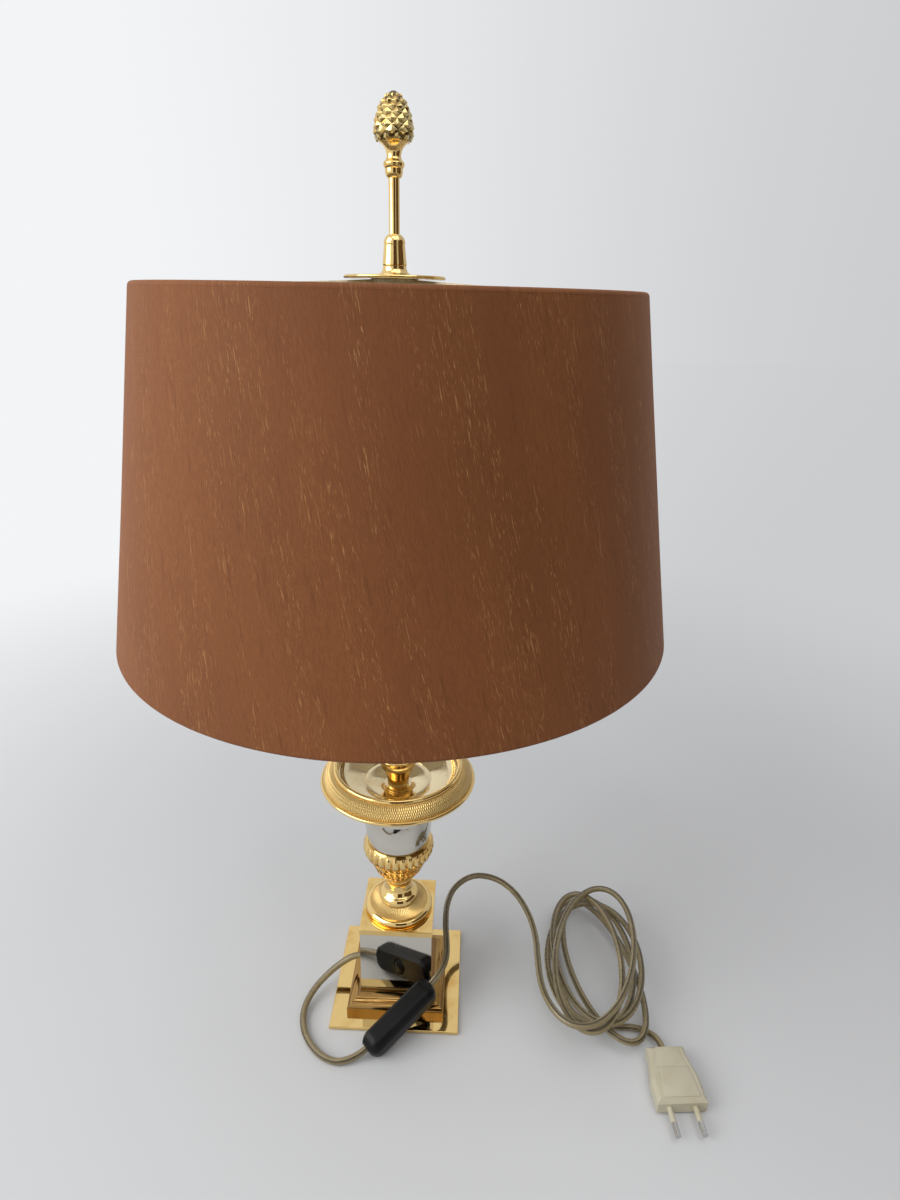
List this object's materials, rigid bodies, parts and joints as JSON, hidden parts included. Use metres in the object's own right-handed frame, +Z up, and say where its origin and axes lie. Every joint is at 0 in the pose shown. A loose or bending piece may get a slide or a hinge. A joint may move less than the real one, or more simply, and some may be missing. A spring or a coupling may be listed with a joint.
{
  "type": "urn table lamp with shade",
  "caption": "Table lamp: urn on a square pedestal, tapered drum shade on a height rod with a finial, candle lampholders under the shade, cord with in-line switch and plug.",
  "frame": {"origin": "middle of the base underside, on the table", "axes": "+Z up along the rod, -Y towards the front, which faces the camera of the picture, +X to the right"},
  "size_m": [0.3983, 0.3446, 0.6258],
  "materials": {
    "gilt": "polished, light gold",
    "chromed": "mirror, faintly warm",
    "dark_edge": "mirror, dark where it meets the cap band",
    "steel": "plain zinc-plated",
    "cast": "rough cast",
    "felt": "felt",
    "silk": "slubbed silk, rust brown with lighter slubs",
    "lining": "laminated lining, off-white",
    "wire": "lacquered wire",
    "sleeve": "satin, ivory",
    "black_plastic": "smooth black",
    "bulb_metal": "bright",
    "bulb_glass": "clear",
    "cord": "glossy bronze-gold insulation",
    "lead": "plain insulation",
    "ivory_plastic": "smooth ivory",
    "pin_metal": "plated, plain"
  },
  "bodies": {
    "lamp": {"base_felt": "felt", "base_moulding": "gilt", "base_plate": "gilt", "base_screws": "steel", "bell_spacer": "steel", "candle_cup_left": "gilt", "candle_cup_right": "gilt", "candle_sleeve_left": "sleeve", "candle_sleeve_right": "sleeve", "cap_band": "gilt", "cap_plate": "dark_edge", "cluster_arm_left": "gilt", "cluster_arm_right": "gilt", "cluster_hub": "gilt", "cord_bush": "black_plastic", "cord_hank": "cord", "cord_hank_to_plug": "cord", "cord_lamp_to_switch": "cord", "cord_switch_to_hank": "cord", "gadroon_cup": "gilt", "height_rod": "gilt", "lamp_leads": "lead", "lampholder_left": "black_plastic", "lampholder_right": "black_plastic", "pedestal_ballast": "cast", "pedestal_die": "chromed", "plug_body": "ivory_plastic", "plug_pin_sleeves": "ivory_plastic", "plug_pins": "pin_metal", "rod_nut": "gilt", "stem_cup": "gilt", "stem_tube": "gilt", "switch_back_shell": "black_plastic", "switch_front_shell": "black_plastic", "tie_nut": "steel", "tie_tube": "steel", "tie_washer": "steel", "urn_bell": "chromed", "urn_collar": "gilt", "urn_dish": "gilt", "urn_foot": "gilt", "urn_rim": "gilt"},
    "bulb_left": {"bulb_cap_left": "bulb_metal", "bulb_glass_left": "bulb_glass"},
    "bulb_right": {"bulb_cap_right": "bulb_metal", "bulb_glass_right": "bulb_glass"},
    "carrier": {"shade_carrier": "gilt", "shade_disc": "gilt", "bell_nut": "gilt"},
    "clamp": {"clamp_screw": "gilt"},
    "shade": {"shade_cloth": "silk", "shade_lining": "lining", "shade_bottom_ring": "wire", "shade_spider": "wire"},
    "finial": {"finial_collar": "gilt", "pine_finial": "gilt"},
    "rocker": {"switch_rocker": "black_plastic"}
  },
  "joints": [
    {"name": "shade_height", "type": "slide", "parent": "lamp", "child": "carrier", "axis": [0, 0, 1], "range_m": [-0.03, 0.025]},
    {"name": "shade_turn", "type": "hinge", "parent": "carrier", "child": "shade", "pos_m": [0, 0, 0.5364], "axis": [0, 0, 1], "continuous": true},
    {"name": "clamp_turn", "type": "hinge", "parent": "carrier", "child": "clamp", "pos_m": [0, 0.0072, 0.5452], "axis": [0, 1, 0], "range_deg": [0, 360]},
    {"name": "bulb_left_turn", "type": "hinge", "parent": "lamp", "child": "bulb_left", "pos_m": [-0.038, 0, 0.42], "axis": [0, 0, 1], "range_deg": [0, 720]},
    {"name": "bulb_right_turn", "type": "hinge", "parent": "lamp", "child": "bulb_right", "pos_m": [0.038, 0, 0.42], "axis": [0, 0, 1], "range_deg": [0, 720]},
    {"name": "finial_turn", "type": "hinge", "parent": "lamp", "child": "finial", "pos_m": [0, 0, 0.5863], "axis": [0, 0, 1], "range_deg": [0, 720]},
    {"name": "rocker_tilt", "type": "hinge", "parent": "lamp", "child": "rocker", "pos_m": [0.0022, -0.04879, 0.02101], "axis": [-0.1746, -0.3732, 0.9112], "range_deg": [0, 16]}
  ]
}
